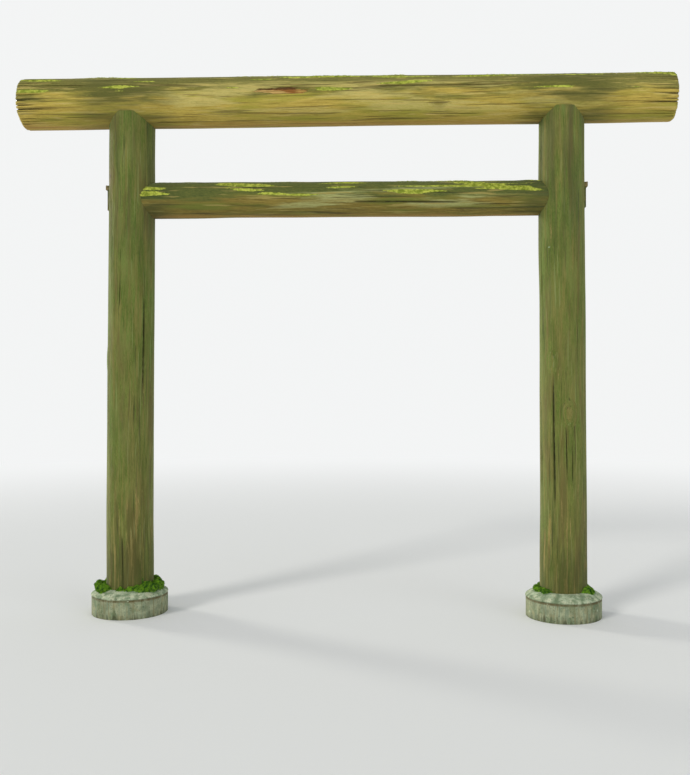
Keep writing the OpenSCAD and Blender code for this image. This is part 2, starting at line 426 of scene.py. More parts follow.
def rough_tree():
    """Uneven skin for cast, floated and split pieces, and the cushions of moss that grow on them."""
    g = Graph.group("rough_skin", "GeometryNodeTree", [
        ("Geometry", SHAPE, None), ("Seed", FLOAT, 0.0), ("Centre", VECTOR, (0.0, 0.0, 0.0)),
        ("Swell", FLOAT, 0.001), ("Marks", FLOAT, 0.0005), ("Grit", FLOAT, 0.0003),
        ("Moss", FLOAT, 0.0), ("Moss From", FLOAT, 0.13), ("Moss To", FLOAT, 0.2),
        ("Cushion", FLOAT, 0.02), ("Floor", FLOAT, -1.0), ("Material", MATERIAL, None)],
        [("Geometry", SHAPE)])
    given = g.given
    place = g.node("GeometryNodeInputPosition").outputs[0]
    local = g.vector("SUBTRACT", place, given["Centre"])
    seeded = g.vector("ADD", local, g.join(given["Seed"], given["Seed"], given["Seed"]))
    upright = g.stretched(seeded, 0.06)
    swell = g.swing(seeded, 11.0, given["Swell"], 2.0)
    marks = g.swing(upright, 75.0, given["Marks"], 2.0)
    grit = g.swing(seeded, 170.0, given["Grit"], 2.0)

    # Moss keeps to the pillar's foot, and to its left and right more than to the trodden front
    out = g.vector("LENGTH", g.stretched(local, 0.0))
    sideways = g.math("DIVIDE", g.math("ABSOLUTE", g.split(local)[0]), g.math("MAXIMUM", out, 0.001))
    behind = g.fade(g.split(local)[1], -0.02, 0.08, 0.0, 0.6)
    sheltered = g.math("MAXIMUM", g.fade(sideways, 0.35, 0.85), behind)
    near = g.fade(out, given["Moss To"], given["Moss From"])
    cover = g.times(g.times(near, given["Moss"]), g.fade(sheltered, 0.0, 1.0, 0.42, 1.0))
    level = g.fade(g.split(g.node("GeometryNodeInputNormal").outputs[0])[2], 0.1, 0.6)
    growth = g.minus(g.noise(seeded, 21.0, 4.0), g.fade(cover, 0.0, 1.0, 0.95, 0.3))
    moss = g.times(g.fade(growth, 0.0, 0.06), level)
    domes = g.cells(seeded, 27.0, feature="SMOOTH_F1")["Distance"]
    dome = g.times(g.fade(domes, 0.7, 0.1, 0.5, 1.0), g.fade(growth, 0.0, 0.25))
    crust = g.times(g.times(dome, level), given["Cushion"])

    total = g.plus(g.plus(swell, marks), g.plus(grit, crust))
    held = g.fade(g.split(place)[2], given["Floor"], g.plus(given["Floor"], 0.004))
    moved = g.vector("MULTIPLY", g.node("GeometryNodeInputNormal").outputs[0], g.join(total, total, total))
    moved = g.vector("MULTIPLY", moved, g.join(1.0, 1.0, held))
    shape = g.keep(g.keep(given["Geometry"], "moss", moss), "thick_moss", moss)
    shape = g.node("GeometryNodeSetPosition", {"Geometry": shape, "Offset": moved}).outputs[0]
    return ended(g, shade_by_angle(g, shape, ROUGH_SHARP))


def moss_tree():
    """Small leaning leaves, strewn where the moss of a surface is thick."""
    g = Graph.group("moss_leaves", "GeometryNodeTree", [
        ("Geometry", SHAPE, None), ("Density", FLOAT, 40000.0), ("Size", FLOAT, 0.005),
        ("Seed", INTEGER, 1), ("Material", MATERIAL, None)], [("Geometry", SHAPE)])
    given = g.given
    cover = g.node("GeometryNodeInputNamedAttribute", {"Name": "thick_moss"}, data_type="FLOAT").outputs[0]
    points = g.node("GeometryNodeDistributePointsOnFaces", {
        "Mesh": given["Geometry"], "Density": g.times(g.fade(cover, 0.1, 0.7), given["Density"]),
        "Seed": given["Seed"]}, distribute_method="RANDOM")
    leaf = g.node("GeometryNodeMeshCone", {
        "Vertices": 3, "Side Segments": 1, "Fill Segments": 1, "Radius Top": 0.0, "Radius Bottom": 0.3,
        "Depth": 1.0}).outputs["Mesh"]
    leaf = g.node("GeometryNodeTransform", {"Geometry": leaf, "Translation": (0.0, 0.0, -0.2)}).outputs[0]
    lean = g.node("FunctionNodeRandomValue", {
        0: (-0.7, -0.7, -3.1), 1: (0.7, 0.7, 3.1), "Seed": given["Seed"]},
        data_type="FLOAT_VECTOR").outputs[0]
    size = g.node("FunctionNodeRandomValue", {2: 0.5, 3: 1.3, "Seed": given["Seed"]},
                  data_type="FLOAT").outputs[1]
    turned = g.node("FunctionNodeRotateRotation", {
        "Rotation": points.outputs["Rotation"], "Rotate By": lean}, rotation_space="LOCAL").outputs[0]
    strewn = g.node("GeometryNodeInstanceOnPoints", {
        "Points": points.outputs["Points"], "Instance": leaf, "Rotation": turned,
        "Scale": g.times(size, given["Size"])}).outputs[0]
    return ended(g, g.node("GeometryNodeRealizeInstances", {"Geometry": strewn}).outputs[0])


# Shader groups

def patch_group():
    """Patches drawn out along the grain: a mask from noise, a threshold and a softness."""
    g = Graph.group("grain_patches", "ShaderNodeTree", [
        ("Grain", VECTOR, None), ("Scale", FLOAT, 20.0), ("Stretch", FLOAT, 0.05), ("Detail", FLOAT, 3.0),
        ("Level", FLOAT, 0.5), ("Softness", FLOAT, 0.05), ("Seed", FLOAT, 0.0)], [("Mask", FLOAT)])
    given = g.given
    drawn = g.vector("MULTIPLY", given["Grain"], g.join(1.0, 1.0, given["Stretch"]))
    moved = g.vector("ADD", drawn, g.join(given["Seed"], 0.0, given["Seed"]))
    value = g.noise(moved, given["Scale"], given["Detail"], 0.55)
    low = g.minus(given["Level"], given["Softness"])
    high = g.plus(given["Level"], given["Softness"])
    g.put(g.result[0], g.fade(value, low, high))
    return g.tree


def fibre_group():
    """Fibres of three widths along the grain, a felt of short hairs, and the height of them all."""
    g = Graph.group("wood_fibres", "ShaderNodeTree", [("Grain", VECTOR, None)],
                    [("Fibre", FLOAT), ("Band", FLOAT), ("Felt", FLOAT), ("Height", FLOAT)])

    def drawn(stretch, across, detail, roughness=0.55, distortion=0.0):
        return g.noise(g.stretched(g.given["Grain"], stretch), across, detail, roughness, distortion)

    thin = drawn(0.045, 820.0, 3.0)
    middle = drawn(0.04, 250.0, 4.0, 0.6)
    band = drawn(0.075, 62.0, 5.0, 0.55, 0.3)
    felt = drawn(0.3, 210.0, 6.0, 0.7)
    fibre = g.plus(g.times(thin, 0.45), g.times(middle, 0.55))
    height = g.plus(g.times(thin, 0.25), g.times(middle, 0.6))
    height = g.plus(height, g.times(band, 0.35))
    height = g.plus(height, g.times(felt, 0.25))
    g.put(g.result["Fibre"], g.fade(fibre, 0.34, 0.66))
    g.put(g.result["Band"], g.fade(band, 0.33, 0.67))
    g.put(g.result["Felt"], g.fade(felt, 0.3, 0.7))
    g.put(g.result["Height"], height)
    return g.tree


def knot_group():
    """Knots: fibres that flow round them, and masks for the heart, its rings and the halo."""
    g = Graph.group("knots", "ShaderNodeTree", [("Grain", VECTOR, None)],
                    [("Flow", VECTOR), ("Heart", FLOAT), ("Rings", FLOAT), ("Halo", FLOAT)])
    grain = g.given["Grain"]
    flat = g.stretched(grain, KNOT_FLATNESS)
    centre = g.cells(flat, KNOTS_A_METRE)["Position"]
    away = g.vector("SUBTRACT", flat, centre)
    uneven = g.swing(grain, 160.0, 0.0015, 2.0)
    apart = g.plus(g.vector("LENGTH", away), uneven)
    pull = g.fade(apart, 0.075, 0.012, 0.0, 0.85)
    flow = g.vector("SUBTRACT", grain, g.vector("MULTIPLY", away, g.join(pull, pull, 0.0)))
    g.put(g.result["Flow"], flow)
    g.put(g.result["Heart"], g.fade(apart, 0.0165, 0.0125))
    g.put(g.result["Rings"], g.fade(g.math("SINE", g.times(apart, 1900.0)), -0.6, 0.9))
    g.put(g.result["Halo"], g.fade(apart, 0.045, 0.014))
    return g.tree


def lichen_group():
    """Scattered round spots with uneven edges."""
    g = Graph.group("lichen_spots", "ShaderNodeTree", [
        ("Place", VECTOR, None), ("Scale", FLOAT, 16.0), ("Size", FLOAT, 0.16), ("Share", FLOAT, 0.3)],
        [("Mask", FLOAT)])
    given = g.given
    frayed = g.noise(given["Place"], 130.0, 3.0)
    cells = g.cells(given["Place"], given["Scale"])
    draw = g.split(cells["Color"])[0]
    size = g.times(given["Size"], g.fade(draw, 0.0, given["Share"], 1.0, 0.3))
    edge = g.plus(cells["Distance"], g.fade(frayed, 0.2, 0.8, -0.06, 0.06))
    spot = g.fade(g.minus(size, edge), 0.0, 0.03)
    g.put(g.result[0], g.times(spot, g.math("LESS_THAN", draw, given["Share"])))
    return g.tree


patches = patch_group()
fibres = fibre_group()
knots = knot_group()
lichen = lichen_group()


def new_material(name):
    material = bpy.data.materials.new(name)
    material.use_nodes = True
    g = Graph(material.node_tree)
    return material, g, material.node_tree.nodes["Principled BSDF"]


def object_place(g):
    return g.node("ShaderNodeTexCoord").outputs["Object"]


def attribute(g, name):
    return g.node("ShaderNodeAttribute", attribute_name=name).outputs


def patch(g, grain, scale, stretch, level, softness, seed, detail=3.0):
    return g.use(patches, {"Grain": grain, "Scale": scale, "Stretch": stretch, "Detail": detail,
                           "Level": level, "Softness": softness, "Seed": seed})[0]


def frayed(g, name, felt):
    """An attribute's mask whose edge is broken up by a fine pattern."""
    mask = g.plus(attribute(g, name)["Fac"], g.fade(felt, 0.0, 1.0, -0.3, 0.3))
    return g.fade(mask, 0.4, 0.7)


CUSHION_MOSS = (tinted(38, 84, 8), tinted(126, 172, 36))
CAP_MOSS = (tinted(122, 134, 38), tinted(182, 188, 76))
CHECK_DARK = tinted(34, 30, 18)


def moss_color(g, place, tones):
    tone = g.noise(place, 60.0, 3.0)
    return g.mix(g.fade(tone, 0.35, 0.65), *tones)


def knotted(g, color, knot):
    """The colour with the knots painted in: a stained halo, and a dark ringed heart."""
    color = g.paint(color, tinted(98, 84, 46), knot["Halo"], 0.4)
    heart = g.mix(knot["Rings"], tinted(46, 38, 24), tinted(86, 70, 42))
    return g.paint(color, heart, knot["Heart"], 0.85)


def scarred(g, color, grain, fibre):
    """The colour with the torn strip: pale at its narrow end, rusty at the wide one, with a painted shadow
    under its upper rim.
    """
    along, beside, mask = g.split(attribute(g, "scar")["Vector"])
    ragged = g.fade(fibre["Felt"], 0.0, 1.0, -0.25, 0.25)
    rusty = patch(g, grain, 30.0, 0.1, 0.5, 0.08, 71.0)
    rusty = g.fade(g.plus(along, g.fade(rusty, 0.0, 1.0, -0.5, 0.5)), -0.3, 0.1)
    torn = g.mix(rusty, tinted(206, 176, 108), tinted(138, 86, 34))
    torn = g.paint(torn, tinted(190, 142, 72), fibre["Fibre"], 0.4)
    torn = g.mix(g.fade(along, 0.55, 0.8, 0.0, 0.7), torn, tinted(200, 164, 88))
    strands = patch(g, grain, 150.0, 0.04, 0.52, 0.08, 73.0, 4.0)
    torn = g.paint(torn, tinted(122, 76, 34), strands, 0.5)
    # Painted shadow: the torn wood is darkened along the strip's upper rim, where that edge would shade it
    rim = g.fade(g.plus(beside, ragged), -0.2, -0.6, 0.0, 0.85)
    torn = g.mix(rim, torn, tinted(66, 42, 18))
    mask = g.plus(mask, ragged)
    color = g.mix(g.fade(mask, 0.1, 0.4, 0.0, 0.4), color, tinted(84, 66, 36))
    return g.mix(g.fade(mask, 0.4, 0.7), color, torn)


def skin(g, shader, color, roughness, height, distance, bloom=0.0):
    """Joins the colour, the roughness and a bump to the shader, with a bloom at its edges."""
    bump = g.node("ShaderNodeBump", {"Height": height, "Distance": distance, "Strength": 1.0})
    g.put(shader.inputs["Base Color"], color)
    g.put(shader.inputs["Roughness"], roughness)
    g.put(shader.inputs["Normal"], bump.outputs[0])
    shader.inputs["Specular IOR Level"].default_value = 0.25
    shader.inputs["Sheen Weight"].default_value = bloom
    shader.inputs["Sheen Roughness"].default_value = 0.4
    shader.inputs["Sheen Tint"].default_value = (0.80, 0.92, 0.55, 1.0)


def pillar_material():
    """Stripped log under a green film, worn back to tan in narrow flames near the foot."""
    material, g, shader = new_material("pillar_log")
    grain = attribute(g, "grain")["Vector"]
    height = g.split(object_place(g))[2]
    knot = g.use(knots, {"Grain": grain})
    grain = knot["Flow"]
    fibre = g.use(fibres, {"Grain": grain})
    wood = g.mix(fibre["Fibre"], tinted(94, 88, 42), tinted(132, 122, 64))
    wood = g.paint(wood, tinted(112, 100, 60), fibre["Band"], 0.5)

    film = g.mix(fibre["Felt"], tinted(72, 92, 31), tinted(106, 127, 53))
    film = g.paint(film, tinted(112, 124, 58), fibre["Fibre"], 0.35)
    mottle = patch(g, grain, 26.0, 0.22, 0.5, 0.11, 3.0, 6.0)
    film = g.paint(film, tinted(78, 94, 34), mottle, 0.65)
    dusty = patch(g, grain, 14.0, 0.3, 0.56, 0.08, 61.0, 6.0)
    film = g.paint(film, tinted(114, 126, 64), dusty, 0.5)
    thick = patch(g, grain, 9.0, 0.2, 0.46, 0.16, 7.0, 6.0)
    thin = g.times(g.fade(fibre["Fibre"], 0.35, 0.8, 1.0, 0.55), g.fade(thick, 0.0, 1.0, 0.62, 1.0))
    lower = g.fade(height, 1.35, 0.45)
    thin = g.times(thin, g.fade(lower, 0.0, 1.0, 1.0, 0.8))
    color = g.mix(thin, wood, film)

    tan = g.mix(fibre["Fibre"], tinted(106, 98, 48), tinted(142, 130, 70))
    soft = patch(g, grain, 52.0, 0.045, 0.56, 0.07, 19.0, 4.0)
    color = g.paint(color, tan, soft, 0.5)
    brown = patch(g, grain, 17.0, 0.1, 0.58, 0.07, 21.0, 5.0)
    color = g.paint(color, tinted(96, 84, 44), brown, 0.6)
    level = g.fade(height, 1.05, 0.35, 0.74, 0.57)
    flame = g.noise(g.stretched(grain, 0.055), 66.0, 1.5, 0.45)
    torn = g.fade(g.blend(0.5, fibre["Fibre"], fibre["Felt"]), 0.1, 0.9, -0.05, 0.05)
    flame = g.fade(g.plus(flame, torn), level, g.plus(level, 0.09))
    laid_bare = g.mix(fibre["Fibre"], tinted(122, 108, 56), tinted(160, 142, 84))
    color = g.paint(color, laid_bare, flame, 0.85)
    hairline = patch(g, grain, 120.0, 0.018, 0.66, 0.025, 51.0, 2.0)
    color = g.paint(color, tinted(56, 54, 28), hairline, 0.6)
    pale = patch(g, grain, 95.0, 0.03, 0.64, 0.03, 33.0, 3.0)
    color = g.paint(color, tinted(140, 146, 92), pale, 0.4)

    foot = g.plus(g.fade(height, 0.7, 0.12), g.fade(fibre["Band"], 0.0, 1.0, -0.3, 0.3))
    color = g.mix(g.fade(foot, 0.1, 1.2, 0.0, 0.6), color, tinted(60, 64, 24))
    # Darker in patches towards the top of the pillar, under the beams
    darker_near_top = g.times(g.fade(height, 1.75, 2.12), patch(g, grain, 22.0, 0.06, 0.5, 0.1, 41.0))
    color = g.paint(color, tinted(66, 70, 40), darker_near_top, 0.45)
    spots = g.use(lichen, {"Place": grain, "Scale": 12.0, "Size": 0.09, "Share": 0.08})[0]
    color = g.paint(color, tinted(160, 180, 150), spots, 0.8)
    color = knotted(g, color, knot)
    color = g.mix(frayed(g, "moss", fibre["Felt"]), color, moss_color(g, grain, CUSHION_MOSS))
    color = g.mix(attribute(g, "check")["Fac"], color, CHECK_DARK)
    relief = g.minus(fibre["Height"], g.times(hairline, 0.6))
    skin(g, shader, color, g.fade(thin, 0.3, 1.0, 0.74, 0.9), relief, 0.0026, 0.12)
    return material


# A beam's heart lies a little off its middle, as its end grain shows
HEART_OFF_CENTRE = (0.012, -0.008, 0.0)


def beam_material(name, middle_z, radius, bare_left, bare_right, tones):
    """Level log: dark and mossy above, tan below, with a rusty line where the rain drips off, painted lighter
    there as painted light from the ground.
    """
    material, g, shader = new_material(name)
    grain = attribute(g, "grain")["Vector"]
    place = object_place(g)
    rise = g.math("DIVIDE", g.minus(g.split(place)[2], middle_z), radius)
    knot = g.use(knots, {"Grain": grain})
    fibre = g.use(fibres, {"Grain": knot["Flow"]})
    uneven = g.noise(g.stretched(grain, 0.12), 24.0, 5.0, 0.6)
    wavy = g.plus(rise, g.fade(uneven, 0.2, 0.8, -0.5, 0.5))
    # The underside's tones come from the call; the lintel's carry painted light from the ground
    below = g.mix(fibre["Fibre"], tones["tan_dark"], tones["tan_light"])
    below = g.paint(below, tones["tan_dark"], fibre["Band"], 0.4)
    below = g.mix(patch(g, grain, 20.0, 0.12, 0.54, 0.12, 5.0, 5.0), below, tones["green"])
    above = g.mix(fibre["Felt"], tones["dark"], tones["grey"])
    above = g.paint(above, tones["grey"], fibre["Fibre"], 0.4)
    color = g.mix(g.fade(wavy, -0.25, 0.3), below, above)

    bare = patch(g, grain, 22.0, 0.09, 0.5, 0.06, 11.0, 7.0)
    flecked = g.times(bare, g.fade(fibre["Fibre"], 0.15, 0.6, 0.4, 1.0))
    along = g.plus(g.split(place)[0], g.fade(uneven, 0.2, 0.8, -0.3, 0.3))
    shown = g.times(g.fade(along, bare_left - 0.15, bare_left + 0.1),
                    g.fade(along, bare_right + 0.25, bare_right, 0.2, 1.0))
    band = g.times(g.fade(rise, -0.85, -0.45), g.fade(rise, 0.7, 0.3))
    bare = g.times(flecked, g.times(shown, band))
    color = g.paint(color, tones["bare"], bare, 0.85)
    fleck = patch(g, grain, 70.0, 0.06, 0.61, 0.03, 13.0, 3.0)
    color = g.paint(color, tones["fleck"], fleck, 0.75)
    line = patch(g, grain, 75.0, 0.03, 0.62, 0.04, 17.0, 4.0)
    color = g.paint(color, tones["line"], line, 0.6)
    hairline = patch(g, grain, 110.0, 0.016, 0.64, 0.025, 53.0, 2.0)
    color = g.paint(color, tones["line"], hairline, 0.6)
    # A rusty drip line along the bottom, painted lighter than rust: real stain, with painted light from the
    # ground on the underside
    drip_rust_and_ground_light = g.times(g.fade(rise, -0.84, -0.97), patch(g, grain, 30.0, 0.05, 0.46, 0.08, 27.0))
    color = g.paint(color, tinted(176, 130, 62), drip_rust_and_ground_light, 0.6)
    # Darker in patches towards the pillars, where each beam meets them
    from_post = g.apart(g.math("ABSOLUTE", g.split(place)[0]), PILLAR_X)
    darker_by_posts = g.times(g.fade(from_post, 0.34, 0.13), g.fade(uneven, 0.35, 0.6, 0.2, 0.7))
    color = g.mix(darker_by_posts, color, tones["dark"])
    color = knotted(g, color, knot)
    color = scarred(g, color, grain, fibre)
    color = g.mix(frayed(g, "moss", fibre["Felt"]), color, moss_color(g, grain, CAP_MOSS))
    color = g.paint(color, tinted(42, 36, 20), attribute(g, "check")["Fac"], 0.85)

    # End grain, where a face looks along the log
    facing = g.math("ABSOLUTE", g.split(g.node("ShaderNodeNewGeometry").outputs["True Normal"])[0])
    end = g.math("GREATER_THAN", facing, 0.8)
    across = g.vector("ADD", g.stretched(grain, 0.0), HEART_OFF_CENTRE)
    out = g.plus(g.vector("LENGTH", across), g.swing(across, 16.0, 0.006, 3.0))
    slow = g.noise(g.join(out, 0.0, 0.0), 55.0, 2.0)
    rings = g.math("SINE", g.plus(g.times(out, 1500.0), g.times(slow, 16.0)))
    rings = g.fade(rings, -0.9, 1.0)
    worn = g.noise(across, 42.0, 6.0, 0.65)
    cut = g.mix(g.times(rings, g.fade(worn, 0.3, 0.6)), tinted(124, 114, 80), tinted(88, 80, 54))
    cut = g.mix(g.fade(out, 0.075, 0.06, 0.0, 0.35), cut, tinted(92, 72, 46))
    cut = g.mix(g.fade(worn, 0.42, 0.66, 0.0, 0.8), cut, tinted(98, 104, 66))
    cut = g.mix(g.fade(out, 0.008, 0.003), cut, tinted(50, 42, 26))
    cut = g.mix(attribute(g, "check")["Fac"], cut, CHECK_DARK)
    color = g.mix(end, color, cut)
    relief = g.minus(fibre["Height"], g.times(hairline, 0.6))
    relief = g.blend(end, relief, g.plus(g.times(rings, 0.2), worn))
    skin(g, shader, color, g.fade(wavy, -0.5, 0.5, 0.76, 0.92), relief, 0.0024, 0.10)
    return material


def split_wood_material():
    """Split hardwood of the wedges and pegs, weathered at the ends that stand out."""
    material, g, shader = new_material("riven_wood")
    place = object_place(g)
    drawn = g.vector("MULTIPLY", place, (0.06, 0.3, 1.0))
    fibre = g.noise(drawn, 420.0, 4.0)
    color = g.mix(g.fade(fibre, 0.3, 0.7), tinted(98, 84, 52), tinted(150, 132, 88))
    grime = g.noise(place, 60.0, 4.0)
    color = g.mix(g.fade(grime, 0.45, 0.65, 0.0, 0.7), color, tinted(84, 92, 48))
    skin(g, shader, color, g.fade(grime, 0.3, 0.7, 0.7, 0.85), fibre, 0.001)
    return material


def concrete_material(name, light, dark, worn, streaked, seed):
    """Grey-green cast or floated surface with algae, pits, specks and pale lichen."""
    material, g, shader = new_material(name)
    place = g.vector("ADD", object_place(g), (seed, seed, 0.0))
    height = g.split(place)[2]
    mottle = g.noise(place, 26.0, 6.0, 0.6)
    color = g.mix(g.fade(mottle, 0.35, 0.65), dark, light)
    fine = g.noise(place, 190.0, 4.0, 0.65)
    color = g.mix(g.fade(fine, 0.35, 0.7, 0.0, 0.35), color, tinted(92, 104, 78))
    rubbed = g.noise(g.vector("ADD", place, (3.0, 0.0, 5.0)), 30.0, 6.0, 0.6)
    color = g.mix(g.fade(rubbed, 0.52, 0.62, 0.0, 0.6), color, worn)
    upright = g.noise(g.stretched(place, 0.07), 95.0, 4.0, 0.55)
    color = g.mix(g.times(g.fade(upright, 0.42, 0.68), streaked), color, tinted(120, 116, 82))
    color = g.mix(g.times(g.fade(upright, 0.5, 0.3), streaked * 0.8), color, tinted(104, 120, 98))
    algae = g.fade(g.noise(place, 15.0, 5.0, 0.6), 0.5, 0.68)
    color = g.paint(color, tinted(88, 112, 78), algae, 0.6)
    drips = g.noise(g.stretched(place, 0.12), 55.0, 4.0, 0.6)
    foot = g.fade(g.plus(height, g.fade(drips, 0.25, 0.75, 0.03, -0.03)), 0.034, -0.012)
    foot = g.times(foot, g.fade(mottle, 0.35, 0.6, 0.35, 0.85))
    color = g.mix(foot, color, tinted(62, 66, 44))
    specks = g.fade(g.noise(place, 120.0, 3.0), 0.6, 0.68)
    color = g.paint(color, tinted(66, 80, 58), specks, 0.55)
    # A painted shadow line just under the collar's lip, broken up by the drips
    shadow_under_lip = g.fade(g.apart(height, DRUM_TOP - 0.003), 0.011, 0.002)
    color = g.mix(g.times(shadow_under_lip, g.fade(drips, 0.3, 0.6, 0.35, 0.85)), color, tinted(86, 74, 44))
    spots = g.use(lichen, {"Place": place, "Scale": 26.0, "Size": 0.24, "Share": 0.35})[0]
    color = g.paint(color, tinted(186, 198, 168), spots, 0.6)
    holes = g.fade(g.cells(place, 120.0)["Distance"], 0.16, 0.1)
    pits = g.times(holes, g.fade(g.noise(place, 40.0, 2.0), 0.5, 0.62))
    color = g.paint(color, tinted(62, 66, 50), pits, 0.7)
    color = g.mix(attribute(g, "moss")["Fac"], color, moss_color(g, place, CUSHION_MOSS))
    relief = g.minus(g.plus(g.times(fine, 0.5), g.times(upright, 0.3)), g.times(pits, 0.5))
    skin(g, shader, color, g.fade(mottle, 0.3, 0.7, 0.82, 0.94), relief, 0.0014)
    return material


def moss_material(name, tones):
    material, g, shader = new_material(name)
    place = object_place(g)
    color = moss_color(g, place, tones)
    rough = g.fade(g.noise(place, 90.0), 0.3, 0.7, 0.85, 1.0)
    skin(g, shader, color, rough, g.noise(place, 700.0), 0.001, 0.2)
    return material


# Meshes

def new_piece(name, mesh):
    piece = bpy.data.objects.new(name, mesh)
    bpy.context.scene.collection.objects.link(piece)
    return piece


def grown(piece, tree, inputs):
    """Runs a geometry tree on a piece and leaves the plain mesh that it makes."""
    modifier = piece.modifiers.new(tree.name, "NODES")
    modifier.node_group = tree
    for item in tree.interface.items_tree:
        if item.in_out == "INPUT" and item.name in inputs:
            modifier[item.identifier] = inputs[item.name]
    depsgraph = bpy.context.evaluated_depsgraph_get()
    mesh = bpy.data.meshes.new_from_object(piece.evaluated_get(depsgraph), depsgraph=depsgraph)
    piece.modifiers.clear()
    piece.data = mesh
    mesh.name = piece.name
    return piece


def slab(name, outlines, thickness):
    """Closed prisms, each an outline in X and Z with its middle at y = 0."""
    bm = bmesh.new()
    for outline in outlines:
        near = [bm.verts.new((x, -thickness / 2, z)) for x, z in outline]
        far = [bm.verts.new((x, thickness / 2, z)) for x, z in outline]
        bm.faces.new(near)
        bm.faces.new(far[::-1])
        for i in range(len(outline)):
            j = (i + 1) % len(outline)
            bm.faces.new((near[j], near[i], far[i], far[j]))
    bmesh.ops.recalc_face_normals(bm, faces=bm.faces)
    return finished_mesh(bm, name)


def finished_mesh(bm, name):
    mesh = bpy.data.meshes.new(name)
    bm.to_mesh(mesh)
    bm.free()
    return mesh


def resampled(outline, spacing):
    """Points along an outline, no further apart than the spacing."""
    points = []
    for (x0, z0), (x1, z1) in zip(outline, outline[1:] + outline[:1]):
        pieces = max(1, math.ceil(math.hypot(x1 - x0, z1 - z0) / spacing))
        points += [(x0 + (x1 - x0) * i / pieces, z0 + (z1 - z0) * i / pieces) for i in range(pieces)]
    return points


def lathe(name, outline, columns, centre_x):
    """A closed solid turned about an upright line. A point with no radius becomes a pole."""
    bm = bmesh.new()
    turns = [2 * math.pi * i / columns for i in range(columns)]
    directions = [(math.cos(turn), math.sin(turn)) for turn in turns]
    rings = []
    for radius, z in outline:
        if radius < 1e-6:
            rings.append([bm.verts.new((centre_x, 0, z))] * columns)
        else:
            rings.append([bm.verts.new((centre_x + radius * x, radius * y, z)) for x, y in directions])
    for ring, following in zip(rings, rings[1:] + rings[:1]):
        for i in range(columns):
            j = (i + 1) % columns
            corners = list(dict.fromkeys((ring[i], ring[j], following[j], following[i])))
            if len(corners) > 2:
                bm.faces.new(corners)
    bmesh.ops.delete(bm, geom=[v for v in bm.verts if not v.link_faces], context="VERTS")
    bmesh.ops.recalc_face_normals(bm, faces=bm.faces)
    return finished_mesh(bm, name)


def seated(piece, slot, *nodes):
    """The piece rides the gate and stands for the nodes, which it hides. The slot is not used."""
    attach(piece, "root")
    if nodes:
        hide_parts(*nodes)
    return piece


log_tree = weathered_log_tree()
rough_skin = rough_tree()
tufts = moss_tree()

LEFT, RIGHT = -1, 1
SIDES = {"left": LEFT, "right": RIGHT}

pillar_wood = pillar_material()
tie_wood = beam_material("tie_log", TIE_Z, TIE_ROOT_R, -0.3, 0.6, {
    "tan_dark": tinted(104, 90, 36), "tan_light": tinted(152, 134, 62), "green": tinted(108, 112, 44),
    "dark": tinted(60, 70, 34), "grey": tinted(100, 106, 48), "bare": tinted(166, 168, 108),
    "fleck": tinted(156, 142, 78), "line": tinted(54, 50, 26)})
# The lintel's tones for its underside are its pale tan raised further: painted light, standing in for light
# thrown up from the ground onto that side
lintel_wood = beam_material("lintel_log", LINTEL_Z, LINTEL_ROOT_R, -0.9, 1.0, {
    "tan_dark": tinted(164, 141, 58), "tan_light": tinted(210, 186, 92), "green": tinted(158, 150, 58),
    "dark": tinted(82, 84, 38), "grey": tinted(132, 126, 58), "bare": tinted(194, 180, 106),
    "fleck": tinted(196, 176, 100), "line": tinted(90, 76, 38)})
riven_wood = split_wood_material()
concrete = concrete_material("concrete", tinted(168, 174, 142), tinted(128, 138, 110), tinted(158, 154, 116),
                             streaked=0.8, seed=0.0)
mortar = concrete_material("mortar", tinted(186, 198, 166), tinted(116, 134, 102), tinted(206, 206, 174),
                           streaked=0.1, seed=4.0)
cushion_moss = moss_material("cushion_moss", CUSHION_MOSS)
cap_moss = moss_material("cap_moss", CAP_MOSS)


# Logs

# Where the tie beam's tenons come out of the pillars
OUTER_FACE = pillar_x(TIE_Z) + pillar_r(TIE_Z)
# How far a cutter runs past the wood that it cuts
PAST = 0.04
# Room left in a mortise beyond the wedge's tip
WEDGE_ROOM = 0.006
LINTEL_BEVEL = 0.010
PEG_MIDDLE = box_middle("right_lintel_peg")
# A peg's hole: its length, and how far its middle lies behind the peg's, so that it opens at the back
PEG_HOLE_LENGTH, PEG_HOLE_SHIFT = 0.09, 0.01
# The meshes of the thick logs and of the tie beam
THICK_MESH = {"Columns": 256, "Rows": 340}
TIE_MESH = {"Columns": 220, "Rows": 300}


def build_log(name, place, inputs, kind, outlines, thickness, shift=0.0):
    """A log in its own frame, with prisms added or cut as the kind says, brought to its place."""
    prisms = new_piece(kind, slab(kind, outlines, thickness))
    prisms.data.transform(place.inverted() @ Matrix.Translation((0, shift, 0)))
    piece = new_piece(name, bpy.data.meshes.new("start"))
    grown(piece, log_tree, {**inputs, kind: prisms})
    bpy.data.objects.remove(prisms)
    piece.data.transform(place)
    return piece


def mirrored(outline, side):
    return [(side * x, z) for x, z in outline]


# Pillars


def wedge_t(depth):
    return WEDGE_MOUTH - (WEDGE_MOUTH - WEDGE_TIP) * depth / WEDGE_REACH


def tie_tenon(side):
    end = OUTER_FACE + TENON_PROUD
    root = pillar_x(TIE_Z) - pillar_r(TIE_Z) - 0.03
    low, high = TIE_Z - TENON_H / 2, TIE_Z + TENON_H / 2
    return mirrored([(root, low), (end, low), (end, high), (root, high)], side)


def tie_mortise(side):
    outer = OUTER_FACE + PAST
    inner = OUTER_FACE - 2 * pillar_r(TIE_Z) - PAST
    low, high = TIE_Z - TENON_H / 2 - SEAM, TIE_Z + TENON_H / 2 + SEAM
    step = OUTER_FACE - WEDGE_REACH - WEDGE_ROOM
    return mirrored([(inner, low), (outer, low), (outer, high + wedge_t(-PAST)),
                     (step, high + wedge_t(WEDGE_REACH)), (step, high), (inner, high)], side)


